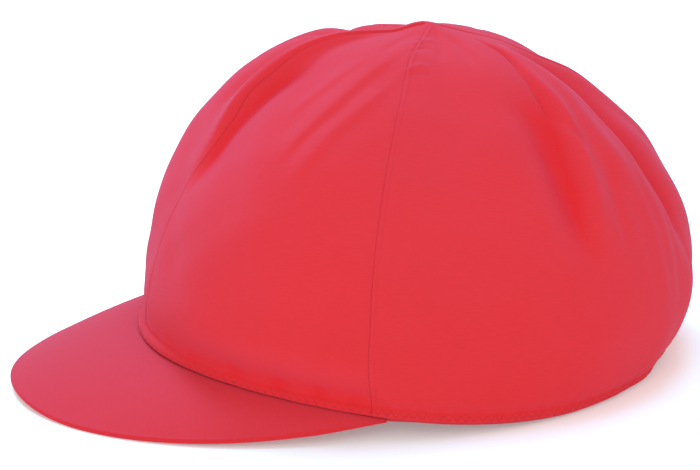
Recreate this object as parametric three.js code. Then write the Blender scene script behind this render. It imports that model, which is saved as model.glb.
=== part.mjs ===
// A soft cotton cycling cap: a crown of four gathered panels, a short turned-down peak and a sweatband.
// Millimetres and degrees. The peak points along -Y, the wearer's left is +X, and the cap stands on z = 0.
// A place on the crown is given by its angle round the head, 0 at the front and 90 at the left, and by how
// far along it lies on the way from the hem, 0, to the crown's tip, 1.
import * as THREE from "three";

const CLOTH = 1.2; // doubled cotton with its seam allowance
const SEAM_GAP = 0.3; // clearance between two pieces that are sewn together
const BAND_SHOWS = 1.4; // height of the sweatband below the hem
const PEAK_THICKNESS = 2.2;
const PEAK_SEAT = 0.4; // from the hem down to the top of the peak's root
const PEAK_END_ANGLE = 77;
const PEAK_END_TUCK = 0.9; // how far its two ends lie inside the crown's outer face
const PEAK_END_FADE = [73, 85]; // between these angles the sweatband rises to the height it has at the sides
const PEAK_REACH = 50;
const PEAK_SWELL = 1.9; // how far its top curves above a straight line from seam to edge
const PEAK_FULLNESS = 0.98; // 1 is an ellipse seen from above, less is fuller at the corners
const CLOTH_COLOUR = 0xdd3c49;
const BAND_COLOUR = 0xc93440;

const RIM = { front: 100, back: 106.4, halfWidth: 79.2, egg: 0.07 };
const TIP = new THREE.Vector3(0, 13.8, 133.7);

// One row for each meridian station; the right side mirrors the left. A meridian leaves the hem at the
// lean, degrees outward from upright, and comes to the tip at the dip, degrees below level. Rise and run
// are the lengths, in millimetres, over which it keeps those two directions.
const STATIONS = [
  { angle: 0, hem: 18.4, rise: 60.8, lean: -6.9, run: 74.2, dip: -1.1 },
  { angle: 45, hem: 16.2, rise: 68, lean: 5.3, run: 67, dip: 3 },
  { angle: 90, hem: 6.1, rise: 63.5, lean: 2.7, run: 40.7, dip: 7 },
  { angle: 135, hem: 1.2, rise: 58.5, lean: 27, run: 60, dip: 8.6 },
  { angle: 180, hem: 3.4, rise: 64.5, lean: 38.5, run: 62, dip: 9.8 },
];

// The side seam starts behind the peak's end and swings forward near the tip.
const SIDE_SEAM = [
  { along: 0, angle: 73.8 },
  { along: 0.28, angle: 71.5 },
  { along: 0.52, angle: 68.8 },
  { along: 0.72, angle: 65 },
  { along: 0.88, angle: 58 },
  { along: 1, angle: 54 },
];

// The centre front seam wanders a little in the slack cloth: its shift to the left in millimetres.
const FRONT_SEAM = [
  { along: 0, shift: 0 },
  { along: 0.25, shift: 2 },
  { along: 0.42, shift: 4.5 },
  { along: 0.52, shift: 0 },
  { along: 0.62, shift: -5 },
  { along: 0.76, shift: 1 },
  { along: 0.88, shift: 1.5 },
  { along: 1, shift: 0 },
];

// Ridges stand out and hollows go in, in millimetres, along a line from one place on the crown to another.
// A place is its angle and how far along it lies. Width is measured across the fold.
const FOLDS = [
  { name: "front seam ridge", from: [0, 0.97], to: [0, 0.5], width: 9, height: 2.4 },
  { name: "front seam hollow low down", from: [2, 0.52], to: [2, 0.3], width: 13, height: -1.8 },
  { name: "hollow beside the front seam", from: [22, 0.84], to: [15, 0.4], width: 13, height: -3.6 },
  { name: "back seam ridge", from: [178, 0.95], to: [179, 0.25], width: 8, height: 0.8 },
  { name: "left back crease", from: [147, 0.88], to: [133, 0.54], width: 9, height: -1.8 },
  { name: "left back crease roll", from: [154, 0.86], to: [138, 0.4], width: 12, height: 1.8 },
  { name: "left back valley", from: [133, 0.78], to: [123, 0.34], width: 13, height: -3.2 },
  { name: "left rear valley", from: [166, 0.84], to: [154, 0.26], width: 12, height: -3.6 },
  { name: "left back swell", from: [148, 0.62], to: [143, 0.16], width: 18, height: 1.6 },
  { name: "left upper streak", from: [60, 0.86], to: [37, 0.6], width: 11, height: 0.7 },
  { name: "left lower back fullness", from: [150, -0.1], to: [150, 0.42], width: 50, height: 1.8 },
  { name: "right front puff", from: [-32, 0.95], to: [-20, 0.06], width: 40, height: 3.7 },
  { name: "hollow right of the front seam", from: [-16, 0.78], to: [-12, 0.5], width: 8, height: -1.4 },
  { name: "right front tuck", from: [-44, 0.92], to: [-58, 0.6], width: 9, height: -2 },
  { name: "right side swell", from: [-84, 0.86], to: [-96, 0.4], width: 20, height: 1.4 },
  { name: "right back valley", from: [-136, 0.82], to: [-122, 0.36], width: 11, height: -3.2 },
  { name: "right back roll", from: [-148, 0.8], to: [-138, 0.3], width: 13, height: 1.8 },
  { name: "right rear valley", from: [-165, 0.8], to: [-158, 0.28], width: 10, height: -3 },
  { name: "right lower back fullness", from: [-150, -0.1], to: [-150, 0.42], width: 50, height: 1.8 },
];

// The height of the middle of the peak's edge over the floor, from the front, 0, to each end, 1. The peak
// arches over the brow and stands on its two low corners.
const PEAK_EDGE = [
  { side: -0.35, height: 1.15 },
  { side: 0, height: 3.2 },
  { side: 0.35, height: 1.15 },
  { side: 0.7, height: 2.7 },
  { side: 1, height: 7.6 },
];

// Gathers over the elastic in the back of the hem.
const GATHERS = { from: 128, to: 232, count: 7, depth: 1.5, top: 0.42 };

const FRONT_COLUMNS = 18;
const BACK_COLUMNS = 22;
const CROWN_ROWS = 22;
const PEAK_SECTIONS = 32;
const PEAK_STEPS = 5;
const BAND_ROWS = 2; // the sweatband reaches up over this many rows of the crown

const UPWARD = new THREE.Vector3(0, 0, 1);
const radians = THREE.MathUtils.degToRad;

function plan(degrees) {
  return new THREE.Vector3(Math.sin(radians(degrees)), -Math.cos(radians(degrees)), 0);
}

// A column of the stations as a smooth closed function of the angle, by its cosine series.
function around(column) {
  const last = STATIONS.length - 1;
  const halfAtEnds = (k) => (k === 0 || k === last ? 0.5 : 1);
  const series = (terms, angle) =>
    terms.reduce((sum, term, k) => sum + halfAtEnds(k) * term * Math.cos(k * angle), 0);
  const values = STATIONS.map((station) => station[column]);
  const waves = values.map((_, k) => (2 / last) * series(values, (Math.PI * k) / last));
  return (degrees) => series(waves, radians(degrees));
}

const hemHeight = around("hem");
const rise = around("rise");
const lean = around("lean");
const run = around("run");
const dip = around("dip");

// A smooth curve through one column of a table, as a function of another column.
function curveThrough(table, across, column) {
  const places = table.map((row) => row[across]);
  const values = table.map((row) => row[column]);
  const curve = new THREE.CubicInterpolant(places, values, 1);
  return (place) => curve.evaluate(place)[0];
}

function rimPoint(degrees) {
  const depth = Math.cos(radians(degrees)) > 0 ? RIM.front : RIM.back;
  return new THREE.Vector3(
    RIM.halfWidth * Math.sin(radians(degrees)) * (1 - RIM.egg * Math.cos(radians(degrees))),
    -depth * Math.cos(radians(degrees)),
    Math.max(BAND_SHOWS, hemHeight(degrees)),
  );
}

// The crown before it is folded: each meridian is one cubic curve from the hem to the tip.
function smoothCrown(degrees, along) {
  const out = plan(degrees);
  const foot = rimPoint(degrees);
  const slope = radians(lean(degrees));
  const fall = radians(dip(degrees));
  const lower = foot.clone().addScaledVector(out, rise(degrees) * Math.sin(slope));
  lower.z += rise(degrees) * Math.cos(slope);
  const upper = TIP.clone().addScaledVector(out, run(degrees) * Math.cos(fall));
  upper.z -= run(degrees) * Math.sin(fall);
  return new THREE.CubicBezierCurve3(foot, lower, upper, TIP).getPoint(along);
}

const FOLD_FADE = 0.3; // share of a fold's length over which each end runs out

// How far the cloth stands out of the smooth crown.
function foldHeight(degrees, along, radius) {
  let height = 0;
  for (const { from, to, width, height: depth } of FOLDS) {
    const part = (along - from[1]) / (to[1] - from[1]);
    if (part <= 0 || part >= 1) continue;
    const fade = THREE.MathUtils.smoothstep(Math.min(part, 1 - part), 0, FOLD_FADE);
    const line = THREE.MathUtils.lerp(from[0], to[0], part);
    const turn = THREE.MathUtils.euclideanModulo(degrees - line + 180, 360) - 180;
    const away = (radians(turn) * radius) / (width / 2);
    height += depth * fade * Math.exp(-away * away);
  }
  const back = THREE.MathUtils.euclideanModulo(degrees, 360);
  if (back > GATHERS.from && back < GATHERS.to && along < GATHERS.top) {
    const part = (back - GATHERS.from) / (GATHERS.to - GATHERS.from);
    const fade = Math.sin(Math.PI * part) * THREE.MathUtils.smoothstep(GATHERS.top - along, 0, GATHERS.top);
    height += GATHERS.depth * fade * Math.cos(2 * Math.PI * GATHERS.count * part);
  }
  return height;
}

function crownPoint(degrees, along) {
  const point = smoothCrown(degrees, along);
  const radius = Math.hypot(point.x, point.y - TIP.y);
  const heart = new THREE.Vector3(0, TIP.y / 2, Math.min(point.z, TIP.z / 3)); // middle of the hollow
  const out = point.clone().sub(heart).normalize();
  return point.addScaledVector(out, foldHeight(degrees, along, radius));
}

const TURN = 0.2; // degrees to each side, to find the slope of the cloth
const CLIMB = 0.02; // share of the way up and down, for the same
const NEAR_TIP = 0.9; // from here on the cloth is turned level, as it is at the tip

function crownNormal(degrees, along) {
  const middle = THREE.MathUtils.clamp(along, CLIMB, 1 - 2 * CLIMB);
  const turned = crownPoint(degrees + TURN, middle).sub(crownPoint(degrees - TURN, middle));
  const climbed = crownPoint(degrees, middle + CLIMB).sub(crownPoint(degrees, middle - CLIMB));
  const level = THREE.MathUtils.smoothstep(along, NEAR_TIP, 1);
  return turned.cross(climbed).normalize().lerp(UPWARD, level).normalize();
}

// The crown at a depth inside its outer face.
function clothPoint(degrees, along, depth) {
  return crownPoint(degrees, along).addScaledVector(crownNormal(degrees, along), -depth);
}

// Collects triangles and leaves out those that have shrunk to a line at a tip.
class Skin {
  constructor() {
    this.corners = [];
  }
  triangle(a, b, c) {
    if (a.equals(b) || b.equals(c) || c.equals(a)) return;
    this.corners.push(...a.toArray(), ...b.toArray(), ...c.toArray());
  }
  quad(a, b, c, d) {
    this.triangle(a, b, c);
    this.triangle(a, c, d);
  }
  geometry() {
    const shape = new THREE.BufferGeometry();
    shape.setAttribute("position", new THREE.Float32BufferAttribute(this.corners, 3));
    shape.computeVertexNormals();
    return shape;
  }
}

// A wall between an outer and an inner grid of points, closed all round its four edges.
function wall(outer, inner, columns, rows) {
  const skin = new Skin();
  const facing = (face, i, j) => [face(i, j), face(i + 1, j), face(i + 1, j + 1), face(i, j + 1)];
  for (let i = 0; i < columns; i++) {
    for (let j = 0; j < rows; j++) {
      skin.quad(...facing(outer, i, j));
      skin.quad(...facing(inner, i, j).reverse());
    }
    skin.quad(inner(i, 0), inner(i + 1, 0), outer(i + 1, 0), outer(i, 0));
    skin.quad(outer(i, rows), outer(i + 1, rows), inner(i + 1, rows), inner(i, rows));
  }
  for (let j = 0; j < rows; j++) {
    skin.quad(inner(0, j), outer(0, j), outer(0, j + 1), inner(0, j + 1));
    skin.quad(outer(columns, j), inner(columns, j), inner(columns, j + 1), outer(columns, j + 1));
  }
  return skin.geometry();
}

// A skin through a row of closed sections. It is a ring, or its two ends are capped.
function loft(sections, ring) {
  const skin = new Skin();
  const count = sections.length;
  for (let i = 0; i < (ring ? count : count - 1); i++) {
    const [a, b] = [sections[i], sections[(i + 1) % count]];
    a.forEach((_, k) => {
      const next = (k + 1) % a.length;
      skin.quad(a[k], b[k], b[next], a[next]);
    });
  }
  if (!ring) {
    const [first, last] = [sections[0], sections[count - 1]];
    for (let k = 1; k < first.length - 1; k++) {
      skin.triangle(first[0], first[k], first[k + 1]);
      skin.triangle(last[0], last[k + 1], last[k]);
    }
  }
  return skin.geometry();
}

function cottonMesh(name, geometry, colour) {
  const cotton = new THREE.MeshStandardMaterial({ color: colour, roughness: 0.9, metalness: 0 });
  const mesh = new THREE.Mesh(geometry, cotton);
  mesh.name = name;
  return mesh;
}

// The seams, as the angle at a place along the meridian.
const leftSeam = curveThrough(SIDE_SEAM, "along", "angle");
const rightSeam = (along) => -leftSeam(along);
const frontShift = curveThrough(FRONT_SEAM, "along", "shift");

function frontSeam(along) {
  if (along === 1) return 0;
  return THREE.MathUtils.radToDeg(Math.atan2(frontShift(along), TIP.y - smoothCrown(0, along).y));
}

// The four panels in order round the head, each between the seams where it starts and ends.
const PANELS = [
  { name: "crown_back_right", start: () => -180, end: rightSeam, columns: BACK_COLUMNS },
  { name: "crown_front_right", start: rightSeam, end: frontSeam, columns: FRONT_COLUMNS },
  { name: "crown_front_left", start: frontSeam, end: leftSeam, columns: FRONT_COLUMNS },
  { name: "crown_back_left", start: leftSeam, end: () => 180, columns: BACK_COLUMNS },
];

function panelAngle({ start, end, columns }, column, along) {
  return THREE.MathUtils.lerp(start(along), end(along), column / columns);
}

// A crown panel is a triangle of cloth between two seams, from the hem to the tip. It is moved outward by
// a hair, so that its edges keep the seam gap to the next panels.
function crownPanel(panel) {
  const apart = plan((panel.start(0) + panel.end(0)) / 2).multiplyScalar(SEAM_GAP / Math.SQRT2);
  const grid = (depth) => (i, j) => {
    const along = j / CROWN_ROWS;
    if (j === CROWN_ROWS) return TIP.clone().setZ(TIP.z - depth).add(apart);
    return clothPoint(panelAngle(panel, i, along), along, depth).add(apart);
  };
  return cottonMesh(panel.name, wall(grid(0), grid(CLOTH), panel.columns, CROWN_ROWS), CLOTH_COLOUR);
}

const peakEdgeHeight = curveThrough(PEAK_EDGE, "side", "height");

// The peak's outer edge: side is -1 at its right end, 0 at the front and 1 at its left end.
function peakEdge(side) {
  const end = clothPoint(PEAK_END_ANGLE, 0, PEAK_END_TUCK);
  const swing = (side * Math.PI) / 2;
  return new THREE.Vector3(
    end.x * Math.sin(swing),
    end.y - (end.y + RIM.front + PEAK_REACH) * Math.abs(Math.cos(swing)) ** PEAK_FULLNESS,
    peakEdgeHeight(Math.abs(side)),
  );
}

// A section of the peak: from the root under the hem, over the top, round the rolled edge and back.
function peakSection(side) {
  const degrees = side * PEAK_END_ANGLE;
  const half = PEAK_THICKNESS / 2;
  const root = clothPoint(degrees, 0, CLOTH);
  root.z = rimPoint(degrees).z - PEAK_SEAT - half;
  const edge = peakEdge(side);
  const out = edge.clone().sub(root).setZ(0);
  const reach = out.length();
  out.normalize();
  const middle = (part) => {
    const point = root.clone().lerp(edge, part);
    point.z += PEAK_SWELL * 4 * part * (1 - part) * Math.min(1, reach / PEAK_REACH);
    return point;
  };
  const parts = Array.from({ length: PEAK_STEPS + 1 }, (_, k) => k / PEAK_STEPS);
  const top = parts.map((part) => middle(part).addScaledVector(UPWARD, half));
  const bottom = parts.map((part) => middle(part).addScaledVector(UPWARD, -half)).reverse();
  const roll = [45, 0, -45].map((turn) => {
    const point = edge.clone().addScaledVector(out, half * Math.cos(radians(turn)));
    point.z += half * Math.sin(radians(turn));
    return point;
  });
  return [...top, ...roll, ...bottom];
}

function peak() {
  const sides = Array.from({ length: PEAK_SECTIONS + 1 }, (_, k) => 1 - (2 * k) / PEAK_SECTIONS);
  return cottonMesh("peak", loft(sides.map(peakSection), false), CLOTH_COLOUR);
}

// The sweatband lines the rim. Behind the peak it hides the peak's root, and round the sides and back its
// lower edge shows under the hem. Its sections stand at the columns of the panels.
function bandSection(panel, column) {
  const outside = CLOTH + SEAM_GAP;
  const inside = outside + CLOTH;
  const degrees = panelAngle(panel, column, 0);
  const behindPeak = 1 - THREE.MathUtils.smoothstep(Math.abs(degrees), ...PEAK_END_FADE);
  const drop = THREE.MathUtils.lerp(BAND_SHOWS, PEAK_THICKNESS + PEAK_SEAT, behindPeak);
  const foot = (depth) => clothPoint(degrees, 0, depth).setZ(rimPoint(degrees).z - drop);
  const at = (row, depth) => {
    const along = row / CROWN_ROWS;
    return clothPoint(panelAngle(panel, column, along), along, depth);
  };
  const rows = Array.from({ length: BAND_ROWS + 1 }, (_, row) => row);
  const outer = rows.map((row) => at(row, outside));
  const inner = rows.map((row) => at(row, inside)).reverse();
  return [foot(outside), ...outer, ...inner, foot(inside)];
}

function sweatband() {
  const sections = PANELS.flatMap((panel) =>
    Array.from({ length: panel.columns }, (_, column) => bandSection(panel, column)),
  );
  return cottonMesh("sweatband", loft(sections, true), BAND_COLOUR);
}

const cap = new THREE.Group();
cap.add(...PANELS.map(crownPanel), peak(), sweatband());

// The origin lies on the floor under the middle of the cap's length.
const box = new THREE.Box3().setFromObject(cap, true);
cap.position.set(-(box.min.x + box.max.x) / 2, -(box.min.y + box.max.y) / 2, 0);

export default cap;
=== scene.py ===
import math

import bmesh
import bpy
import numpy as np
from mathutils import Matrix, Vector


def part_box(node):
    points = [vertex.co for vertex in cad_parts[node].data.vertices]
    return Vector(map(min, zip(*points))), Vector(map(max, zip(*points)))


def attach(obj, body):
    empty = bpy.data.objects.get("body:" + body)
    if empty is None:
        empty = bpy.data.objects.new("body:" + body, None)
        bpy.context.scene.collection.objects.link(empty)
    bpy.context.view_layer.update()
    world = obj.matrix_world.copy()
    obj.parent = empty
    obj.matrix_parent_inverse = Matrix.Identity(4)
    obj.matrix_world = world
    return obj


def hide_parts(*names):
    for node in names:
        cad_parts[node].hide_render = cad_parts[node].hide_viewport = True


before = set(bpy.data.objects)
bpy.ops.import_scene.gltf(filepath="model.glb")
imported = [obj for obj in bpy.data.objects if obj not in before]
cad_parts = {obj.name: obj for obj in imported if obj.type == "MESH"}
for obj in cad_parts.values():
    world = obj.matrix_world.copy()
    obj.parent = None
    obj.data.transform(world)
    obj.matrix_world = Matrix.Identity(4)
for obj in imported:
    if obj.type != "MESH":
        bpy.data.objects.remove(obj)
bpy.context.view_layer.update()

# The crown
# Four panels of coral red cotton, cut as gores, felled together in double seams and gathered into an
# elastic hem. The cloth has no stiffening, so it stands with the folds that it was left in.

MM = 0.001
CLOTH = 1.2  # thickness of the doubled cloth
BAND_SHOWS = 1.4  # height of the sweatband's edge below the hem

# How far the rim reaches ahead of its middle, behind it and to each side, and how much of an egg it is.
RIM_FRONT, RIM_BACK, RIM_HALF_WIDTH, RIM_EGG = 100, 106.4, 79.2, 0.07
PEAK_REACH, PEAK_THICKNESS = 50, 2.2
TIP = np.array([0, 13.8, 133.7])
UPWARD = np.array([0, 0, 1])

# From the rim's own middle to the middle of the whole cap, along its length.
TO_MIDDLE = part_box("peak")[0].y / MM + RIM_FRONT + PEAK_REACH + PEAK_THICKNESS / 2

# angle from the front, height of the hem, length and lean of its rise, length and dip of its run to the tip
STATIONS = [
    {"angle": 0, "hem": 18.4, "rise": 60.8, "lean": -6.9, "run": 74.2, "dip": -1.1},
    {"angle": 45, "hem": 16.2, "rise": 68, "lean": 5.3, "run": 67, "dip": 3},
    {"angle": 90, "hem": 6.1, "rise": 63.5, "lean": 2.7, "run": 40.7, "dip": 7},
    {"angle": 135, "hem": 1.2, "rise": 58.5, "lean": 27, "run": 60, "dip": 8.6},
    {"angle": 180, "hem": 3.4, "rise": 64.5, "lean": 38.5, "run": 62, "dip": 9.8},
]


def around(column):
    """A column of the stations as a smooth function of the angle, the same on the left and the right."""
    values = np.array([station[column] for station in STATIONS])
    angles = np.radians([station["angle"] for station in STATIONS])
    last = len(STATIONS) - 1
    k = np.arange(last + 1)
    share = np.where((k == 0) | (k == last), 0.5, 1)
    waves = 2 / last * np.cos(np.outer(k, angles)) @ (share * values)

    def at_angle(degrees):
        return np.cos(np.radians(degrees)[..., None] * k) @ (share * waves)

    return at_angle


hem_height, rise, lean, run, dip = map(around, ("hem", "rise", "lean", "run", "dip"))


def plan(degrees):
    """The level direction away from the head at an angle from the front towards the left."""
    turn = np.radians(degrees)
    return np.stack([np.sin(turn), -np.cos(turn), 0 * turn], -1)


def rim_point(degrees):
    """A place on the hem's edge, which is the foot of the crown."""
    turn = np.radians(degrees)
    depth = np.where(np.cos(turn) > 0, RIM_FRONT, RIM_BACK)
    x = RIM_HALF_WIDTH * np.sin(turn) * (1 - RIM_EGG * np.cos(turn))
    return np.stack([x, -depth * np.cos(turn), np.maximum(BAND_SHOWS, hem_height(degrees))], -1)


def smooth_crown(degrees, along):
    """The crown before it folds, at an angle and a share of the way from the hem to the tip."""
    degrees, along = np.broadcast_arrays(np.asarray(degrees, float), np.asarray(along, float))
    out = plan(degrees)
    foot = rim_point(degrees)
    slope, fall = np.radians(lean(degrees)), np.radians(dip(degrees))
    climb = np.sin(slope)[..., None] * out + np.cos(slope)[..., None] * UPWARD
    spread = np.cos(fall)[..., None] * out - np.sin(fall)[..., None] * UPWARD
    lower = foot + rise(degrees)[..., None] * climb
    upper = TIP + run(degrees)[..., None] * spread
    t = along[..., None]
    return (1 - t) ** 3 * foot + 3 * (1 - t) ** 2 * t * lower + 3 * (1 - t) * t**2 * upper + t**3 * TIP


def from_tip(point):
    """How far a place lies from the upright line through the tip."""
    return np.hypot(point[..., 0], point[..., 1] - TIP[1])


def table_curve(table):
    """A smooth curve through the rows of a short table, each a place and its value."""
    places, values = np.array(table, float).T
    slopes = np.gradient(values, places)

    def curve(place):
        place = np.clip(place, places[0], places[-1])
        i = np.clip(np.searchsorted(places, place, side="right") - 1, 0, len(places) - 2)
        step = places[i + 1] - places[i]
        s = (place - places[i]) / step
        h00, h10 = (1 + 2 * s) * (1 - s) ** 2, s * (1 - s) ** 2
        h01, h11 = s * s * (3 - 2 * s), s * s * (s - 1)
        return h00 * values[i] + h10 * step * slopes[i] + h01 * values[i + 1] + h11 * step * slopes[i + 1]

    return curve


# The lines of the seams: a share of the way from the hem to the tip, and there the side seam's angle or the
# front seam's shift to the left in millimetres.
left_seam = table_curve([(0, 73.8), (0.28, 71.5), (0.52, 68.8), (0.72, 65), (0.88, 58), (1, 54)])
front_shift = table_curve(
    [(0, 0), (0.25, 2), (0.4, 3.5), (0.52, -0.5), (0.62, -4.2), (0.7, -3.6), (0.8, -1.2), (0.9, 0.2), (1, 0)]
)
LEAST_AHEAD, AT_TIP = 0.01, 0.999  # at the tip itself the front seam has no angle of its own


def front_seam(along):
    along = np.asarray(along, float)
    ahead = np.maximum(TIP[1] - smooth_crown(0 * along, along)[..., 1], LEAST_AHEAD)
    return np.where(along > AT_TIP, 0, np.degrees(np.arctan2(front_shift(along), ahead)))


def right_seam(along):
    return -left_seam(along)


def back_seam(along):
    return 180 + 0 * np.asarray(along, float)


def back_seam_from_the_right(along):
    return back_seam(along) - 360


# The folds: the line of each as angles and shares of the way from the hem to the tip, how many millimetres
# it is wide towards the front and towards the back of the cap, and how far it stands out or goes in.
FOLDS = [
    ("front seam ridge", [(-1, 0.97), (-2, 0.84), (-5, 0.68), (-3.5, 0.56), (0, 0.44)], 6.5, 2.2, 3.2),
    (
        "hollow beside the front seam",
        [(4, 0.82), (2.2, 0.75), (-0.4, 0.66), (0.8, 0.57), (4, 0.46), (8, 0.34)],
        5,
        10,
        -2.2,
    ),
    ("slack beside it", [(7, 0.84), (4.5, 0.74), (1.5, 0.65), (2.5, 0.56), (8, 0.3)], 5, 45, -2.8),
    ("back seam ridge", [(178, 0.95), (179, 0.36)], 5, 5, 1.5),
    ("fullness high at the back", [(-178, 0.93), (-172, 0.62)], 14, 14, 1.5),
    (
        "left back valley",
        [(138.5, 0.77), (135.8, 0.71), (132.6, 0.64), (129.4, 0.57)]
        + [(127.2, 0.5), (125.4, 0.43), (123.5, 0.31)],
        7.5,
        1.8,
        -4,
    ),
    (
        "shoulder of the left back valley",
        [(129.5, 0.8), (126.5, 0.69), (124.5, 0.58), (123.2, 0.4)],
        7,
        6,
        -2.5,
    ),
    (
        "ridge behind it",
        [(153, 0.88), (142, 0.79), (138, 0.71), (135, 0.64), (132.2, 0.57), (129.8, 0.49), (127, 0.36)],
        1.5,
        5,
        2.9,
    ),
    (
        "left back crease",
        [(156, 0.93), (151, 0.866), (141, 0.79), (136.5, 0.71), (135.5, 0.64), (137, 0.56)],
        1,
        1.2,
        -2.4,
    ),
    (
        "roll behind the crease",
        [(160, 0.88), (151, 0.75), (146, 0.65), (143.5, 0.56), (142, 0.44)],
        4.5,
        6,
        2,
    ),
    ("dart behind the ridge", [(143, 0.6), (140, 0.55), (137, 0.49), (135, 0.42), (134, 0.33)], 2, 2.6, -0.9),
    (
        "left rear valley",
        [(172, 0.92), (168, 0.78), (165, 0.7), (162, 0.63)]
        + [(159.5, 0.56), (158, 0.48), (157, 0.4), (157, 0.24)],
        4.5,
        10,
        -5.7,
    ),
    ("left back swell", [(148, 0.62), (143, 0.16)], 9, 9, 1.1),
    ("left lower back fullness", [(150, -0.18), (150, 0.26)], 25, 25, 1.3),
    ("first slanting fold", [(48, 0.9), (42.5, 0.76), (40.5, 0.68), (38.5, 0.6), (36, 0.48)], 6, 2.2, 1.3),
    ("second slanting fold", [(57, 0.8), (52, 0.68), (48.5, 0.62), (46.5, 0.55), (45, 0.44)], 6, 2.2, 1.3),
    ("third slanting fold", [(36, 0.86), (30, 0.76), (28, 0.68), (26.5, 0.6)], 4, 2.2, 0.6),
    ("first back pleat", [(142, 0.5), (141, 0.42), (140, 0.18)], 1.8, 2.6, -0.4),
    ("second back pleat", [(148, 0.56), (146, 0.42), (144.5, 0.16)], 1.8, 2.6, -0.4),
    ("third back pleat", [(152.5, 0.54), (151, 0.42), (149.5, 0.14)], 1.8, 2.6, -0.4),
    ("fourth back pleat", [(160, 0.46), (158.5, 0.34), (158, 0.12)], 2, 2.6, -0.7),
    ("pull at the tip, left", [(96, 0.97), (93, 0.9), (88, 0.82)], 1.8, 1.8, -0.45),
    ("pull at the tip, back left", [(122, 0.97), (120, 0.9), (114, 0.8)], 1.8, 1.8, -0.5),
    ("pull at the tip, front left", [(34, 0.97), (36, 0.9), (38, 0.84)], 1.8, 1.8, -0.5),
    ("right front puff", [(-32, 0.95), (-20, 0.06)], 20, 20, 3.7),
    ("dip above the right front puff", [(-34, 0.98), (-28, 0.76)], 12, 12, -2.7),
    ("hollow right of the front seam", [(-13, 0.84), (-15, 0.72), (-12, 0.5)], 3, 4, -1.5),
    (
        "first dart of the right front",
        [(-22, 0.9), (-27, 0.79), (-31, 0.69), (-30, 0.6), (-28, 0.48)],
        2.4,
        2.8,
        -1.3,
    ),
    ("right front tuck", [(-44, 0.92), (-52, 0.76), (-58, 0.6)], 4.5, 3, -2),
    ("right side swell", [(-84, 0.86), (-96, 0.4)], 10, 10, 1.4),
    ("right back valley", [(-136, 0.84), (-128, 0.6), (-122, 0.34)], 9, 4.5, -3.4),
    ("ridge behind the right back valley", [(-136, 0.66), (-132, 0.54), (-128, 0.36)], 3.2, 6, 1.4),
    ("right back crease", [(-150, 0.9), (-141, 0.76), (-137, 0.6)], 1.3, 1.7, -1),
    ("right back roll", [(-150, 0.74), (-145, 0.62), (-142, 0.44)], 4, 8, 1.2),
    ("right rear valley", [(-172, 0.98), (-166, 0.74), (-160, 0.5), (-158, 0.26)], 6, 7, -2),
    ("first right back pleat", [(-142, 0.54), (-139, 0.16)], 1.8, 2.6, -0.55),
    ("second right back pleat", [(-147, 0.56), (-144, 0.14)], 1.8, 2.6, -0.6),
    ("right lower back fullness", [(-150, -0.18), (-150, 0.26)], 25, 25, 1.3),
    ("pull at the tip, right", [(-95, 0.97), (-98, 0.9), (-104, 0.8)], 1.8, 1.8, -0.45),
]
FOLD_FADE = 0.3  # share of a fold's length over which it runs out at each end
AT_FRONT_SEAM = 12  # a fold nearer to the front than this angle has its back width on its left

# The gathers that the elastic makes at the back: the angles they reach between, how many they are, their
# height, and how far up they run out.
GATHERS_FROM, GATHERS_TO, GATHERS_COUNT, GATHERS_DEPTH, GATHERS_TOP = 128, 232, 7, 1.0, 0.42

# Small puckers that lie across the side seam: the angles they reach between, how far along they lie, their
# width in millimetres and their height.
PUCKERS = [
    ("under the tip", 44, 92, 0.905, 1.6, 0.45),
    ("second", 50, 84, 0.868, 1.5, -0.4),
    ("third", 56, 80, 0.8, 1.6, 0.5),
    ("fourth", 60, 80, 0.775, 1.3, -0.4),
    ("right, under the tip", -88, -44, 0.9, 1.6, 0.45),
    ("right, second", -82, -52, 0.85, 1.6, -0.4),
]
PUCKER_ARCH = 0.02  # how much further along the middle of a pucker lies
MERIDIAN = 190  # length of the crown's cloth from the hem to the tip


def smoothstep(value, low, high):
    """A share that goes from 0 at the low value to 1 at the high one, level at both."""
    s = np.clip((value - low) / (high - low), 0, 1)
    return s * s * (3 - 2 * s)


def bump(place, middle, width):
    """A smooth rise that is 1 in its middle and fades out within about twice its width."""
    return np.exp(-(((place - middle) / width) ** 2))


def from_front(degrees):
    """An angle, however many turns it holds, as one to the left (above 0) or the right of the front."""
    return (degrees + 180) % 360 - 180


def arc(degrees, line, radius):
    """The distance round the crown from a line to a place, backwards on the left side counted positive."""
    return np.radians(from_front(degrees - line)) * radius


def fold_height(degrees, along, radius):
    """How far the folds and the gathers together stand out or go in."""
    height = 0 * along
    for _, line, front_width, back_width, depth in FOLDS:
        rows = sorted((row[1], row[0]) for row in line)
        low, high = rows[0][0], rows[-1][0]
        part = np.clip((along - low) / (high - low), 0, 1)
        fade = smoothstep(np.minimum(part, 1 - part), 0, FOLD_FADE)
        middle = table_curve(rows)(along)
        away = arc(degrees, middle, radius)
        to_back = away * np.where(np.abs(middle) < AT_FRONT_SEAM, 1, np.sign(middle)) > 0
        height += depth * fade * bump(away, 0, np.where(to_back, back_width, front_width))
    part = np.clip((degrees % 360 - GATHERS_FROM) / (GATHERS_TO - GATHERS_FROM), 0, 1)
    fade = np.sin(math.pi * part) * smoothstep(GATHERS_TOP - along, 0, GATHERS_TOP)
    height += GATHERS_DEPTH * fade * np.cos(2 * math.pi * GATHERS_COUNT * part)
    return height


def pucker_height(degrees, along):
    """How far the puckers across the side seams stand out or go in."""
    height = 0 * along
    for _, start, end, place, width, depth in PUCKERS:
        across = np.sin(math.pi * np.clip((degrees - start) / (end - start), 0, 1))
        height += depth * across * bump((along - place - PUCKER_ARCH * across) * MERIDIAN, 0, width)
    return height


THREAD, FINE_THREAD = 0.11, 0.08  # radius of the thread where it lies on the cloth

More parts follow.
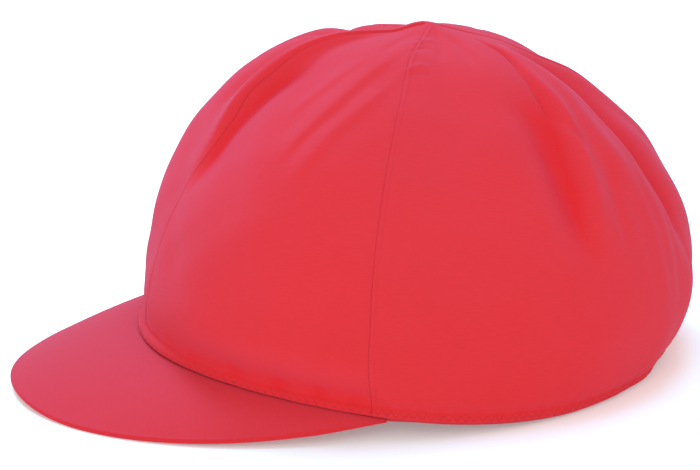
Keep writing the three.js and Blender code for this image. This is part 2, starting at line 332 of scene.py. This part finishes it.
# Each seam has a groove where two panels meet, and beside it the strip of folded-in edges that is stitched
# down. A row gives the line of the seam, the way its strip lies (1 is towards larger angles), the width and
# the thickness of the strip, the share of the relief that is left low on the cap, and the groove's thread.
SEAMS = [
    ("left side seam", left_seam, 1, 1.7, 0.15, 1, THREAD),
    ("right side seam", right_seam, -1, 1.7, 0.15, 1, THREAD),
    ("front seam", front_seam, -1, 3.2, 0.9, 0.1, FINE_THREAD),
    ("back seam", back_seam, 1, 2.4, 0.3, 0.6, THREAD),
]
GROOVE, GROOVE_WIDTH = 0.14, 0.45
STRIP_RISE, STRIP_FALL = (0, 0.6), (-0.4, 0.8)  # from the groove, and from the strip's far edge
EDGE_LINE, EDGE_LINE_WIDTH = 0.13, 0.4  # the second row of stitches sinks into the cloth this far
LOW_TO_HIGH = (0.4, 0.75)  # the shares of the way up between which the full relief sets in
SEAM_FROM_TIP = (1, 3.5)  # the seams' relief runs out this near the tip


def seam_height(degrees, along, radius):
    """The groove and the strip of each seam, and the line that its second row of stitches draws."""
    height = 0 * along
    clear_of_tip = smoothstep(radius, *SEAM_FROM_TIP)
    for _, seam, way, strip, thick, low_down, _ in SEAMS:
        away = arc(degrees, seam(along), radius) * way
        share = clear_of_tip * (low_down + (1 - low_down) * smoothstep(along, *LOW_TO_HIGH))
        height -= GROOVE * bump(away, 0, GROOVE_WIDTH) * share
        height += thick * smoothstep(away, *STRIP_RISE) * (1 - smoothstep(away - strip, *STRIP_FALL)) * share
        height -= EDGE_LINE * bump(away, strip, EDGE_LINE_WIDTH) * share
    return height


RIM_RADIUS = 88  # the rim's mean radius, which turns an angle into a length round it
PEAK_FADE = (70, 80)  # the cloth above the peak is pulled in more, up to these angles
WELT_FADE = (8, 35)  # in front the hem's strip is a thicker welt, up to these

# The hem's strip, which the zigzag stitch holds down: its height, how far its foot and its top reach, how
# far it stands out all round, above the peak and in front, and the same for the groove above it.
HEM_STRIP, STRIP_FOOT, STRIP_TOP = 3.3, (-0.6, 0.7), (-0.7, 0.5)
STRIP_OUT, STRIP_OUT_PEAK, STRIP_OUT_FRONT = 0.3, 0.2, 0.5
GROOVE_IN, GROOVE_IN_FRONT, GROOVE_BAND = 0.2, 0.35, (HEM_STRIP + 0.5, 0.8)

# What the elastic does to the cloth over that strip. Each band is a height over the hem's edge and a width:
# above the peak the cloth is pulled in, by puckers too, and full over that, and behind it a little crimped.
PULLED_IN, PULLED_ASIDE, PULLED_PUCKER, PULLED_BAND = 0.8, 0.4, 0.9, (6.4, 5)
FULL_OUT, FULL_BAND = 3, (22, 10)
REAR_IN, REAR_BAND = 0.5, (4, 3)
CRIMP_OUT, CRIMP_BAND = 0.16, (5, 4)
PUCKER_WAVES, CRIMP_WAVES = (14, 2.2, 19), (6.1, 1.7, 17)  # their pitch, and how far and how slowly it drifts

# The puckers come and go round the rim: their mean strength, how much it changes, how slowly and from where.
PUCKER_MEAN, PUCKER_CHANGE, PUCKER_CHANGE_LENGTH, PUCKER_CHANGE_START = 0.7, 0.3, 11, 0.6


def above_hem(degrees, along):
    """The height over the hem's edge: a crown curve sets out with three times its rise."""
    return 3 * rise(degrees) * along


def ripple(length, pitch, drift, drift_length):
    """Even waves from -1 to 1, drawn together and apart a little as they go."""
    return np.cos(2 * math.pi * length / pitch + drift * np.sin(length / drift_length))


def hem_relief(degrees, along):
    """The hem's strip, the hollow that the elastic pulls in above it and the puckers in that hollow."""
    up = above_hem(degrees, along)
    aside = np.abs(from_front(degrees))
    round_rim = np.radians(degrees) * RIM_RADIUS
    over_peak = 1 - smoothstep(aside, *PEAK_FADE)
    beside_welt = over_peak * smoothstep(aside, *WELT_FADE)
    welt = over_peak - beside_welt
    strip = STRIP_OUT + STRIP_OUT_PEAK * over_peak + STRIP_OUT_FRONT * welt
    height = strip * smoothstep(up, *STRIP_FOOT) * (1 - smoothstep(up - HEM_STRIP, *STRIP_TOP))
    height -= (GROOVE_IN + GROOVE_IN_FRONT * welt) * bump(up, *GROOVE_BAND)
    pucker = (0.5 - 0.5 * ripple(round_rim, *PUCKER_WAVES)) ** 2
    pucker *= PUCKER_MEAN + PUCKER_CHANGE * np.sin(round_rim / PUCKER_CHANGE_LENGTH + PUCKER_CHANGE_START)
    pulled = PULLED_IN * over_peak + (PULLED_ASIDE + PULLED_PUCKER * pucker) * beside_welt
    height -= pulled * bump(up, *PULLED_BAND)
    height += FULL_OUT * beside_welt * bump(up, *FULL_BAND)
    height -= REAR_IN * (1 - over_peak) * bump(up, *REAR_BAND)
    height += CRIMP_OUT * (1 - over_peak) * ripple(round_rim, *CRIMP_WAVES) * bump(up, *CRIMP_BAND)
    return height


# Slack cloth is never quite even: each wave has its length across and up the cap, its start and its height.
SLACK = [
    (41, 67, 0.4, 0.22),
    (-29, 83, 2.1, 0.18),
    (63, -38, 4.4, 0.2),
    (23, 31, 5.2, 0.07),
    (-17, 26, 1.1, 0.05),
]
SLACK_LENGTH, SLACK_FADE = 57, (0.03, 0.2)  # of every wave along the cap, and where it sets in over the hem
NUB_HEIGHT, NUB_WIDTH = 0.9, 2.6  # the four points of the panels stand up a little at the tip


def crown_point(degrees, along, fine=True):
    """The outer face of the crown as it stands, in millimetres from the rim's middle."""
    degrees, along = np.broadcast_arrays(np.asarray(degrees, float), np.asarray(along, float))
    point = smooth_crown(degrees, along)
    radius = from_tip(point)
    # The cloth stands out or goes in along a line from a place low inside the head.
    heart = np.stack([0 * along, 0 * along + TIP[1] / 2, np.minimum(point[..., 2], TIP[2] / 3)], -1)
    out = point - heart
    out /= np.linalg.norm(out, axis=-1)[..., None]
    height = fold_height(degrees, along, radius)
    if fine:
        height += seam_height(degrees, along, radius) + hem_relief(degrees, along)
        height += pucker_height(degrees, along)
        slack = 0 * along
        x, y, z = np.moveaxis(point, -1, 0)
        for length_across, length_up, start, depth in SLACK:
            phase = 2 * math.pi * (x / length_across + z / length_up + y / SLACK_LENGTH)
            slack += depth * np.sin(phase + start)
        height += slack * smoothstep(along, *SLACK_FADE)
    point = point + height[..., None] * out
    point[..., 2] += NUB_HEIGHT * bump(radius, 0, NUB_WIDTH)
    return point


TURN, CLIMB = 0.15, 0.0012  # steps in degrees and in share of the way, to find the slope of the cloth


def crown_normal(degrees, along, fine=True):
    """The direction that the crown's outer face looks in."""
    along = np.clip(along, CLIMB, 1 - 2 * CLIMB)
    turned = crown_point(degrees + TURN, along, fine) - crown_point(degrees - TURN, along, fine)
    climbed = crown_point(degrees, along + CLIMB, fine) - crown_point(degrees, along - CLIMB, fine)
    normal = np.cross(turned, climbed)
    return normal / np.maximum(np.linalg.norm(normal, axis=-1), 1e-9)[..., None]


def placed(points):
    """Points in millimetres from the rim's middle, as metres in the frame."""
    return (np.asarray(points) + [0, TO_MIDDLE, 0]) * MM


def lengths_along(line):
    """How far along a line of points each of them lies."""
    return np.concatenate([[0], np.cumsum(np.linalg.norm(np.diff(line, axis=0), axis=1))])


def finish_piece(name, shape, material, replaced=()):
    """Makes a finished bmesh into a piece of the cap that rides on its one body."""
    mesh = bpy.data.meshes.new(name)
    shape.to_mesh(mesh)
    shape.free()
    mesh.shade_smooth()
    mesh.materials.append(material)
    piece = bpy.data.objects.new(name, mesh)
    bpy.context.scene.collection.objects.link(piece)
    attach(piece, "root")
    if replaced:
        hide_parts(*replaced)
    return piece


# How deep a fold's and the hem's hollow are before they get painted shade. Close over the hem the cloth
# above the peak gets painted shade in any case: how much, from which angles on, and up to which heights.
FOLD_HOLLOW, HEM_HOLLOW = (0.4, 5), (0.1, 1.9)
HEM_SHADE, HEM_SHADE_FRONT, HEM_SHADE_TOP = 0.55, (12, 40), (5, 15)


def painted_shade_in(degrees, along, radius):
    """How much painted shade a place of the crown gets in its hollows and over the peak, from 0 to 1."""
    folds = smoothstep(-fold_height(degrees, along, radius), *FOLD_HOLLOW)
    hem = smoothstep(-hem_relief(degrees, along), *HEM_HOLLOW)
    aside = np.abs(from_front(degrees))
    shade = HEM_SHADE * smoothstep(aside, *HEM_SHADE_FRONT) * (1 - smoothstep(aside, *PEAK_FADE))
    shade *= 1 - smoothstep(above_hem(degrees, along), *HEM_SHADE_TOP)
    return np.maximum(np.maximum(folds, hem), shade)


PANEL_ROWS, MERIDIAN_STEPS = 190, 400
EASING = 0.6
TIP_ROW, TIP_MERGE = 0.9999, 0.05 * MM  # a panel's last row meets in the tip and is merged
HEAD_MIDDLE = Vector((0, 0, 0.03))  # the panels' faces have to look away from here


def eased(share):
    """Evenly spaced shares, drawn together at both ends, where seams and edges need the finest cloth."""
    return share - EASING * np.sin(2 * math.pi * share) / (2 * math.pi)


def crown_panel(name, start, end, columns, material):
    """One panel: a sheet between two seams, whose grain runs up its middle and which is doubled inwards."""
    shape = bmesh.new()
    bmesh.ops.create_grid(shape, x_segments=columns, y_segments=PANEL_ROWS, size=1)
    shape.verts.ensure_lookup_table()
    flat = np.array([vert.co[:2] for vert in shape.verts]) / 2 + 0.5
    across, along = eased(flat[:, 0]), eased(flat[:, 1])
    degrees = start(along) + (end(along) - start(along)) * across
    radius = from_tip(smooth_crown(degrees, along))
    # Painted shade: each vertex carries how much its colour is darkened in hollows and over the peak.
    painted_shade = shape.verts.layers.float.new("painted_shade")
    points, shade_amounts = placed(crown_point(degrees, along)), painted_shade_in(degrees, along, radius)
    for vert, point, shade_amount in zip(shape.verts, points, shade_amounts):
        vert.co = point
        vert[painted_shade] = shade_amount

    middle = (start(along) + end(along)) / 2
    meridian = np.linspace(0, 1, MERIDIAN_STEPS)
    lengths = lengths_along(smooth_crown(0 * meridian + middle[0], meridian))
    wide = np.radians(degrees - middle) * radius * MM
    long = np.interp(along, meridian, lengths) * MM
    grain = shape.loops.layers.uv.new("grain")
    for face in shape.faces:
        for loop in face.loops:
            loop[grain].uv = (wide[loop.vert.index], long[loop.vert.index])

    tip_row = [vert for vert, share in zip(shape.verts, flat[:, 1]) if share > TIP_ROW]
    bmesh.ops.remove_doubles(shape, verts=tip_row, dist=TIP_MERGE)
    shape.normal_update()
    outward = sum(face.normal.dot(face.calc_center_median() - HEAD_MIDDLE) for face in shape.faces)
    if outward < 0:
        bmesh.ops.reverse_faces(shape, faces=shape.faces)
    piece = finish_piece(name + "_cloth", shape, material, [name])
    wall = piece.modifiers.new("doubled cloth", "SOLIDIFY")
    wall.thickness = CLOTH * MM
    wall.offset = -1


# The cloth's colours from the hem to the top: darker at the hem as painted shade, pinker towards the top as
# painted sheen.
CORAL_LOW, CORAL_MIDDLE, CORAL_TOP = (225, 39, 35), (225, 43, 42), (226, 47, 51)
LOW_PLACE, MIDDLE_PLACE, TOP_PLACE = 0.02, 0.35, 0.95  # where the three colours lie, as shares of this height
PAINTED_LIGHT_HEIGHT = 130 * MM
PAINTED_SHADE_IN_HOLLOWS = (1.02, 0.5, 0.34, 1)  # painted shade: what a hollow leaves of the cloth's red, green and blue
BLOOM = (110, 132, 184)  # colour of the cloth's sheen
THREAD_PITCH = 0.42 * MM
SLUB_STRETCH = (250, 1700, 1)  # the slubs lie round the cap, long across the grain and fine along it
WEAVE_RELIEF, CRUMPLE_RELIEF = 0.05 * MM, 0.35 * MM


def linear(red, green, blue):
    """A colour on a screen's scale of 255, as light."""
    shares = np.array([red, green, blue]) / 255
    light = np.where(shares <= 0.04045, shares / 12.92, ((shares + 0.055) / 1.055) ** 2.4)
    return (*light, 1)


def add_node(material, kind, inputs, **settings):
    """A new node of a material: its own settings come first, and then the values of its sockets."""
    node = material.node_tree.nodes.new(kind)
    for setting, value in settings.items():
        setattr(node, setting, value)
    for socket, value in inputs.items():
        node.inputs[socket].default_value = value
    return node


def colour_with_painted_light(material, place, low, middle, top):
    """The cloth's colour: darker at the hem as painted shade, pinker towards the top as painted sheen, in
    faint blotches, and darkened in hollows as painted shade.
    """
    link = material.node_tree.links.new
    patches = add_node(material, "ShaderNodeTexNoise", {"Scale": 38, "Detail": 5, "Roughness": 0.6})
    link(place.outputs["Object"], patches.inputs["Vector"])
    spread = {"From Min": 0.3, "From Max": 0.7, "To Min": -0.12, "To Max": 0.12}
    blotches = add_node(material, "ShaderNodeMapRange", spread)
    link(patches.outputs["Fac"], blotches.inputs["Value"])
    height = add_node(material, "ShaderNodeSeparateXYZ", {})
    link(place.outputs["Object"], height.inputs["Vector"])
    # Painted shade and sheen: the colour follows the height over the table.
    level = add_node(material, "ShaderNodeMath", {1: 1 / PAINTED_LIGHT_HEIGHT}, operation="MULTIPLY_ADD")
    link(height.outputs["Z"], level.inputs[0])
    link(blotches.outputs["Result"], level.inputs[2])
    shade = add_node(material, "ShaderNodeValToRGB", {})
    shade.color_ramp.elements[0].position = LOW_PLACE
    shade.color_ramp.elements[0].color = linear(*low)
    shade.color_ramp.elements[1].position = TOP_PLACE
    shade.color_ramp.elements[1].color = linear(*top)
    shade.color_ramp.elements.new(MIDDLE_PLACE).color = linear(*middle)
    link(level.outputs["Value"], shade.inputs["Fac"])
    # Painted shade: the attribute darkens the colour in hollows and over the peak.
    shade_amount = add_node(material, "ShaderNodeAttribute", {}, attribute_name="painted_shade")
    painted_darkening = add_node(material, "ShaderNodeMix", {"B": PAINTED_SHADE_IN_HOLLOWS}, data_type="RGBA", blend_type="MULTIPLY")
    link(shade_amount.outputs["Fac"], painted_darkening.inputs["Factor"])
    link(shade.outputs["Color"], painted_darkening.inputs["A"])
    return painted_darkening.outputs["Result"]


def woven_relief(material, place, lie):
    """The relief of the cloth: two sets of threads that cross, over a faint crumple."""
    link = material.node_tree.links.new
    weave = add_node(material, "ShaderNodeMath", {}, operation="ADD")
    for k, axis in enumerate(("X", "Y")):
        threads = add_node(
            material,
            "ShaderNodeTexWave",
            {"Scale": 1 / (math.pi * THREAD_PITCH), "Distortion": 0.6},
            wave_type="BANDS",
            bands_direction=axis,
        )
        link(lie.outputs["UV"], threads.inputs["Vector"])
        link(threads.outputs["Fac"], weave.inputs[k])
    weave_bump = add_node(material, "ShaderNodeBump", {"Strength": 0.35, "Distance": WEAVE_RELIEF})
    link(weave.outputs["Value"], weave_bump.inputs["Height"])
    crumple = add_node(material, "ShaderNodeTexNoise", {"Scale": 95, "Detail": 4})
    link(place.outputs["Object"], crumple.inputs["Vector"])
    crumple_bump = add_node(material, "ShaderNodeBump", {"Strength": 0.5, "Distance": CRUMPLE_RELIEF})
    link(crumple.outputs["Fac"], crumple_bump.inputs["Height"])
    link(weave_bump.outputs["Normal"], crumple_bump.inputs["Normal"])
    return crumple_bump.outputs["Normal"]


def cotton(name, low, middle, top):
    """Plain-woven cotton: a fine weave with slubs in its yarn, a colour with painted shade and painted sheen,
    and a soft bloom.
    """
    material = bpy.data.materials.new(name)
    material.use_nodes = True
    link = material.node_tree.links.new
    cloth = material.node_tree.nodes["Principled BSDF"]
    cloth.inputs["Specular IOR Level"].default_value = 0.12
    cloth.inputs["Sheen Weight"].default_value = 0.2
    cloth.inputs["Sheen Roughness"].default_value = 0.78
    cloth.inputs["Sheen Tint"].default_value = linear(*BLOOM)

    place = add_node(material, "ShaderNodeTexCoord", {})
    lie = add_node(material, "ShaderNodeUVMap", {}, uv_map="grain")
    stretch = add_node(material, "ShaderNodeMapping", {"Scale": SLUB_STRETCH})
    link(lie.outputs["UV"], stretch.inputs["Vector"])
    slubs = add_node(material, "ShaderNodeTexNoise", {"Scale": 1, "Detail": 2})
    link(stretch.outputs["Vector"], slubs.inputs["Vector"])

    streak = add_node(material, "ShaderNodeMix", {"Factor": 0.12}, data_type="RGBA", blend_type="MULTIPLY")
    link(colour_with_painted_light(material, place, low, middle, top), streak.inputs["A"])
    link(slubs.outputs["Fac"], streak.inputs["B"])
    link(streak.outputs["Result"], cloth.inputs["Base Color"])
    roughness = add_node(material, "ShaderNodeMapRange", {"To Min": 0.82, "To Max": 0.96})
    link(slubs.outputs["Fac"], roughness.inputs["Value"])
    link(roughness.outputs["Result"], cloth.inputs["Roughness"])
    link(woven_relief(material, place, lie), cloth.inputs["Normal"])
    return material


crown_cotton = cotton("coral cotton", CORAL_LOW, CORAL_MIDDLE, CORAL_TOP)
PANELS = [
    ("crown_back_right", back_seam_from_the_right, right_seam, 200),
    ("crown_front_right", right_seam, front_seam, 150),
    ("crown_front_left", front_seam, left_seam, 150),
    ("crown_back_left", left_seam, back_seam, 200),
]
for name, start, end, columns in PANELS:
    crown_panel(name, start, end, columns, crown_cotton)

# The stitching of the crown
# Cotton thread in the cloth's own red, darker near the hem, and round the hem a darker red, painted shade of
# the gaps between its stitches. Two rows of lockstitch run beside each felled seam, and a row of zigzag
# stitch holds the elastic all round the hem.

STITCH, STITCH_GAP, FIRST_STITCH = 2.1, 0.7, 0.3
STITCH_ENDS = 0.6  # how far a stitch's round ends reach past its holes, as a share of the thread
BESIDE_GROOVE, BESIDE_EDGE = -0.1, 0.05  # where the two rows run, from the groove and from the strip's edge
ROW_FROM, ROW_TO, ROW_STEPS = 0.03, 0.95, 600  # the shares of the way up that a row of stitches covers
SEAM_LIFT, HEM_LIFT = 0.2, 0.4  # how far a thread stands out of the cloth, as a share of its radius
HEM_THREAD = 0.14
ZIGZAG_LOW, ZIGZAG_HIGH, ZIGZAG_PITCH, RIM_STEPS = 0.8, 3, 3.3, 3600
THREAD_SIDES, THREAD_RINGS = 6, 5
seam_thread = cotton("coral thread", (204, 34, 34), (226, 44, 43), (225, 49, 53))


def add_stitch(shape, start, end, thick):
    """One stitch: a rounded length of thread between two points in metres."""
    start, end = Vector(start), Vector(end)
    along = end - start
    turn = along.to_track_quat("Z", "Y").to_matrix().to_4x4()
    size = Matrix.Diagonal((thick, thick, along.length / 2 + thick * STITCH_ENDS, 1))
    place = Matrix.Translation((start + end) / 2) @ turn @ size
    bmesh.ops.create_uvsphere(shape, u_segments=THREAD_SIDES, v_segments=THREAD_RINGS, radius=1, matrix=place)


def seam_row(shape, seam, shift, thick):
    """A row of lockstitch beside a seam."""
    along = np.linspace(ROW_FROM, ROW_TO, ROW_STEPS)
    radius = from_tip(smooth_crown(seam(along), along))
    degrees = seam(along) + np.degrees(shift / radius)
    line = crown_point(degrees, along)
    lengths = lengths_along(line)
    line += crown_normal(degrees, along) * THREAD * SEAM_LIFT

    def on_line(length):
        return placed(np.stack([np.interp(length, lengths, line[:, k]) for k in range(3)], -1))

    starts = np.arange(FIRST_STITCH, lengths[-1] - STITCH, STITCH + STITCH_GAP)
    for start, end in zip(on_line(starts), on_line(starts + STITCH)):
        add_stitch(shape, start, end, thick * MM)


for name, seam, way, strip, _, _, groove_thread in SEAMS:
    rows = bmesh.new()
    seam_row(rows, seam, BESIDE_GROOVE * way, groove_thread)
    seam_row(rows, seam, (strip + BESIDE_EDGE) * way, FINE_THREAD)
    finish_piece(name.replace(" ", "_") + "_stitches", rows, seam_thread)

zigzag = bmesh.new()
round_rim = np.linspace(-180, 180, RIM_STEPS + 1)
rim_lengths = lengths_along(rim_point(round_rim))
strokes = 2 * round(rim_lengths[-1] / ZIGZAG_PITCH)
corner_degrees = np.interp(np.arange(strokes + 1) / strokes * rim_lengths[-1], rim_lengths, round_rim)
corner_height = np.where(np.arange(strokes + 1) % 2, ZIGZAG_HIGH, ZIGZAG_LOW)
corner_along = corner_height / above_hem(corner_degrees, 1)
corners = crown_point(corner_degrees, corner_along)
corners = placed(corners + crown_normal(corner_degrees, corner_along) * HEM_THREAD * HEM_LIFT)
for start, end in zip(corners[:-1], corners[1:]):
    add_stitch(zigzag, start, end, HEM_THREAD * MM)
# Painted shade: the hem's thread is darker than the cloth, for the shade in the gaps of the zigzag.
hem_thread = cotton("deeper red thread", (203, 33, 32), (200, 35, 36), (198, 37, 41))
finish_piece("hem_zigzag_stitches", zigzag, hem_thread)

# The peak
# Two layers of the same cotton over a thin stiffener, turned over a rolled edge, and sewn under the front
# of the hem. It arches over the brow and curves down at its sides.

PEAK_END_ANGLE, PEAK_END_TUCK = 77, 0.9  # where it ends, and how far in under the cloth
PEAK_SEAT = 0.4  # the gap between the peak and the hem over it
PEAK_SWELL, PEAK_FULLNESS = 1.9, 0.98  # how far it swells up, and how full its outline is; 1 is an ellipse
PEAK_HALF = PEAK_THICKNESS / 2
PEAK_TAPER, PEAK_TAPER_FROM = 0.6, 0.86  # it is pressed thin where its ends are caught under the hem
ROLL_FROM, ROLL_TO = 0.42, 0.58  # the shares of the way round it between which it turns over its edge
PEAK_COLUMNS, PEAK_ROWS, AT_ROOT = 260, 90, 1e-4

# The height of the edge over the table, from its front at 0 to its end at 1. The first row repeats the third
# on the other side, so that the edge is level in front.
peak_edge_height = table_curve([(-0.35, 1.15), (0, 3.2), (0.35, 1.15), (0.7, 2.7), (1, 7.6)])

# Painted shade darkens the cloth from the rolled edge on, and underneath less than on the edge: by how much,
# and where each of them begins on the way round.
EDGE_PAINTED_SHADE, EDGE_PAINTED_SHADE_FROM = 0.9, (0.43, 0.48)
UNDERSIDE_LESS_SHADE, UNDERSIDE_FROM = 0.4, (0.55, 0.6)


def cloth_point(degrees, along, depth):
    """A place at a depth under the crown's outer face, without its fine relief."""
    depth = np.asarray(depth, float)[..., None]
    return crown_point(degrees, along, fine=False) - depth * crown_normal(degrees, along, fine=False)


def peak_edge(side):
    """The line of the peak's edge: side goes from -1 at the right end, over 0 in front, to 1 at the left."""
    end = cloth_point(np.array(float(PEAK_END_ANGLE)), np.array(0.0), PEAK_END_TUCK)
    swing = side * math.pi / 2
    reach = end[1] + RIM_FRONT + PEAK_REACH
    y = end[1] - reach * np.abs(np.cos(swing)) ** PEAK_FULLNESS
    return np.stack([end[0] * np.sin(swing), y, peak_edge_height(np.abs(side))], -1)


def peak_point(side, turn):
    """The peak's surface: turn goes from 0 at the top of the root over the edge and back to 1 below it."""
    degrees = side * PEAK_END_ANGLE
    root = cloth_point(degrees, 0 * degrees, CLOTH)
    root[..., 2] = rim_point(degrees)[..., 2] - PEAK_SEAT - PEAK_HALF
    edge = peak_edge(side)
    out = (edge - root) * [1, 1, 0]
    reach = np.linalg.norm(out, axis=-1)
    out /= np.maximum(reach, 1e-6)[..., None]
    over = np.clip(turn / ROLL_FROM, 0, 1)
    back = np.clip((turn - ROLL_TO) / (1 - ROLL_TO), 0, 1)
    part = np.where(turn < 0.5, over, 1 - back)[..., None]
    roll = (np.clip((turn - ROLL_FROM) / (ROLL_TO - ROLL_FROM), 0, 1) - 0.5) * math.pi
    half = PEAK_HALF * (1 - PEAK_TAPER * smoothstep(np.abs(side), PEAK_TAPER_FROM, 1))
    point = root + (edge - root) * part
    point[..., 2] += PEAK_SWELL * 4 * (part * (1 - part))[..., 0] * np.minimum(1, reach / PEAK_REACH)
    point += (np.cos(roll) * half)[..., None] * out
    point[..., 2] += -np.sin(roll) * half
    return point


peak = bmesh.new()
bmesh.ops.create_grid(peak, x_segments=PEAK_COLUMNS, y_segments=PEAK_ROWS, size=1)
flat = np.array([vert.co[:2] for vert in peak.verts])
side, turn = flat[:, 0], flat[:, 1] / 2 + 0.5
peak_grain = peak.loops.layers.uv.new("grain")
peak_painted_shade = peak.verts.layers.float.new("painted_shade")
# Painted shade on the rolled edge, and less of it underneath.
painted_darkening = EDGE_PAINTED_SHADE * smoothstep(turn, *EDGE_PAINTED_SHADE_FROM)
painted_darkening -= UNDERSIDE_LESS_SHADE * smoothstep(turn, *UNDERSIDE_FROM)
for vert, point, share in zip(peak.verts, placed(peak_point(side, turn)), painted_darkening):
    vert.co = point
    vert[peak_painted_shade] = share
for face in peak.faces:
    for loop in face.loops:
        loop[peak_grain].uv = loop.vert.co.xy
at_root = {vert: min(share, 1 - share) < AT_ROOT for vert, share in zip(peak.verts, turn)}
root_edges = [edge for edge in peak.edges if all(at_root[vert] for vert in edge.verts)]
bmesh.ops.bridge_loops(peak, edges=root_edges)
bmesh.ops.holes_fill(peak, edges=[edge for edge in peak.edges if edge.is_boundary], sides=0)
bmesh.ops.recalc_face_normals(peak, faces=peak.faces)
# Painted shade: the peak's cotton has less red than the crown's, against the light on its upturned top.
peak_cotton = cotton("peak cotton with painted shade", (218, 46, 50), (218, 47, 52), (218, 47, 52))
finish_piece("peak_cloth", peak, peak_cotton, ["peak"])

# The sweatband
# A cotton tape sewn inside the hem, with the elastic hidden behind it at the back. Only its folded lower
# edge shows, just under the hem.

# How deep under the crown's outer face the tape lies, its thickness, and the share of the way up it reaches.
BAND_OUTSIDE, BAND_TAPE, BAND_UP = CLOTH + 0.3, 1.2, 0.0909
BAND_BEHIND_PEAK = (73, 85)  # behind the peak the tape reaches lower, up to these angles
BAND_FOOT = 0.86  # share of the way down the tape at which it leaves the crown's cloth
BAND_FOLD, BAND_TOP = (0.44, 0.56), (0.97, 1)  # where it turns inwards at its foot, and out again at its top
BAND_COLUMNS, BAND_ROWS, BAND_MERGE = 420, 56, 0.004 * MM
BAND_HALF_LENGTH, BAND_ROUND = 280, 36  # half of the tape's length, and the way down it and up again


def band_point(degrees, turn):
    """The tape's surface, from its upper edge down its outer face, under its foot and up its inner face."""
    behind_peak = 1 - smoothstep(np.abs(degrees), *BAND_BEHIND_PEAK)
    drop = BAND_SHOWS + (PEAK_THICKNESS + PEAK_SEAT - BAND_SHOWS) * behind_peak
    inner = smoothstep(turn, *BAND_FOLD) - smoothstep(turn, *BAND_TOP)
    down = 1 - np.abs(2 * turn - 1)
    up = BAND_UP * (1 - np.clip(down / BAND_FOOT, 0, 1))
    depth = BAND_OUTSIDE + BAND_TAPE * inner + np.maximum(0, -hem_relief(degrees, up))
    point = cloth_point(degrees, up, depth)
    low = rim_point(degrees)[..., 2] - drop
    below_cloth = np.sin(np.clip((down - BAND_FOOT) / (1 - BAND_FOOT), 0, 1) * math.pi / 2)
    point[..., 2] += (low - point[..., 2]) * below_cloth
    return point


band = bmesh.new()
bmesh.ops.create_grid(band, x_segments=BAND_COLUMNS, y_segments=BAND_ROWS, size=1)
flat = np.array([vert.co[:2] for vert in band.verts])
degrees, turn = flat[:, 0] * 180, flat[:, 1] / 2 + 0.5
band_grain = band.loops.layers.uv.new("grain")
for vert, point in zip(band.verts, placed(band_point(degrees, turn))):
    vert.co = point
for face in band.faces:
    for loop in face.loops:
        long, wide = flat[loop.vert.index, 0] * BAND_HALF_LENGTH, turn[loop.vert.index] * BAND_ROUND
        loop[band_grain].uv = (long * MM, wide * MM)
bmesh.ops.remove_doubles(band, verts=band.verts, dist=BAND_MERGE)
bmesh.ops.recalc_face_normals(band, faces=band.faces)
band_tape = cotton("sweatband tape", (210, 44, 42), (208, 46, 48), (206, 48, 54))
finish_piece("sweatband_tape", band, band_tape, ["sweatband"])

# The table
# A pale floor without seams or edges in view. Large soft lamps light it, and their names say where they
# stand as the camera sees them.

FLOOR_HALF = 4  # half of its side, in metres
floor_shape = bmesh.new()
bmesh.ops.create_grid(floor_shape, x_segments=1, y_segments=1, size=FLOOR_HALF)
floor_mesh = bpy.data.meshes.new("floor")
floor_shape.to_mesh(floor_mesh)
floor_shape.free()
floor = bpy.data.objects.new("floor", floor_mesh)
bpy.context.scene.collection.objects.link(floor)
paper = bpy.data.materials.new("white paper")
paper.use_nodes = True
paper_face = paper.node_tree.nodes["Principled BSDF"]
paper_face.inputs["Base Color"].default_value = (0.86, 0.86, 0.86, 1)
paper_face.inputs["Roughness"].default_value = 0.9
paper_face.inputs["Specular IOR Level"].default_value = 0.1
paper_face.inputs["Emission Color"].default_value = (1, 1, 1, 1)
paper_face.inputs["Emission Strength"].default_value = 0.22
floor_mesh.materials.append(paper)

WHITE = (1, 1, 1)
COOL = (0.2, 0.65, 1)  # lamps that bring out the bloom of the cloth more than its red
LAMPS_AIM = Vector((0, 0, 0.07))


def soft_lamp(name, position, size, power, colour):
    lamp = bpy.data.lights.new(name, "AREA")
    lamp.size = size
    lamp.energy = power
    lamp.color = colour
    holder = bpy.data.objects.new(name, lamp)
    holder.location = position
    holder.rotation_euler = (LAMPS_AIM - Vector(position)).to_track_quat("-Z", "Y").to_euler()
    bpy.context.scene.collection.objects.link(holder)


soft_lamp("left rear", (-1.15, -0.35, 1.4), 0.6, 32, COOL)
soft_lamp("top", (-0.3, 0.15, 1.9), 0.8, 20, COOL)
soft_lamp("beside the camera", (1.5, -0.5, 0.9), 1.6, 9, WHITE)

world = bpy.data.worlds.new("studio")
bpy.context.scene.world = world
world.use_nodes = True
world.node_tree.nodes["Background"].inputs["Color"].default_value = (*WHITE, 1)
world.node_tree.nodes["Background"].inputs["Strength"].default_value = 0.72

# The camera's place
# On the cap's left and a little ahead of it, looking down on it from some way off with a long lens, so
# that the near and the far side of the cap keep nearly the same scale.

CAMERA_SWING, CAMERA_HEIGHT = 13.83, 22.87  # degrees ahead of square on, and above level
CAMERA_DISTANCE, PIXELS_PER_MM, PIXELS_WIDE = 1150, 2.59, 700
AIM = (0, -17.74, 51.07)

swing, height = math.radians(CAMERA_SWING), math.radians(CAMERA_HEIGHT)
towards = Vector((math.cos(swing) * math.cos(height), -math.sin(swing) * math.cos(height), math.sin(height)))
camera_data = bpy.data.cameras.new("camera")
camera_data.sensor_width = 36
camera_data.lens = PIXELS_PER_MM * CAMERA_DISTANCE / PIXELS_WIDE * camera_data.sensor_width
camera_data.clip_start, camera_data.clip_end = 0.05, 20
camera = bpy.data.objects.new("camera", camera_data)
camera.location = Vector(placed(AIM)) + towards * CAMERA_DISTANCE * MM
camera.rotation_mode = "QUATERNION"
camera.rotation_quaternion = (-towards).to_track_quat("-Z", "Y")
bpy.context.scene.collection.objects.link(camera)
bpy.context.scene.camera = camera
bpy.context.scene.view_settings.view_transform = "Standard"
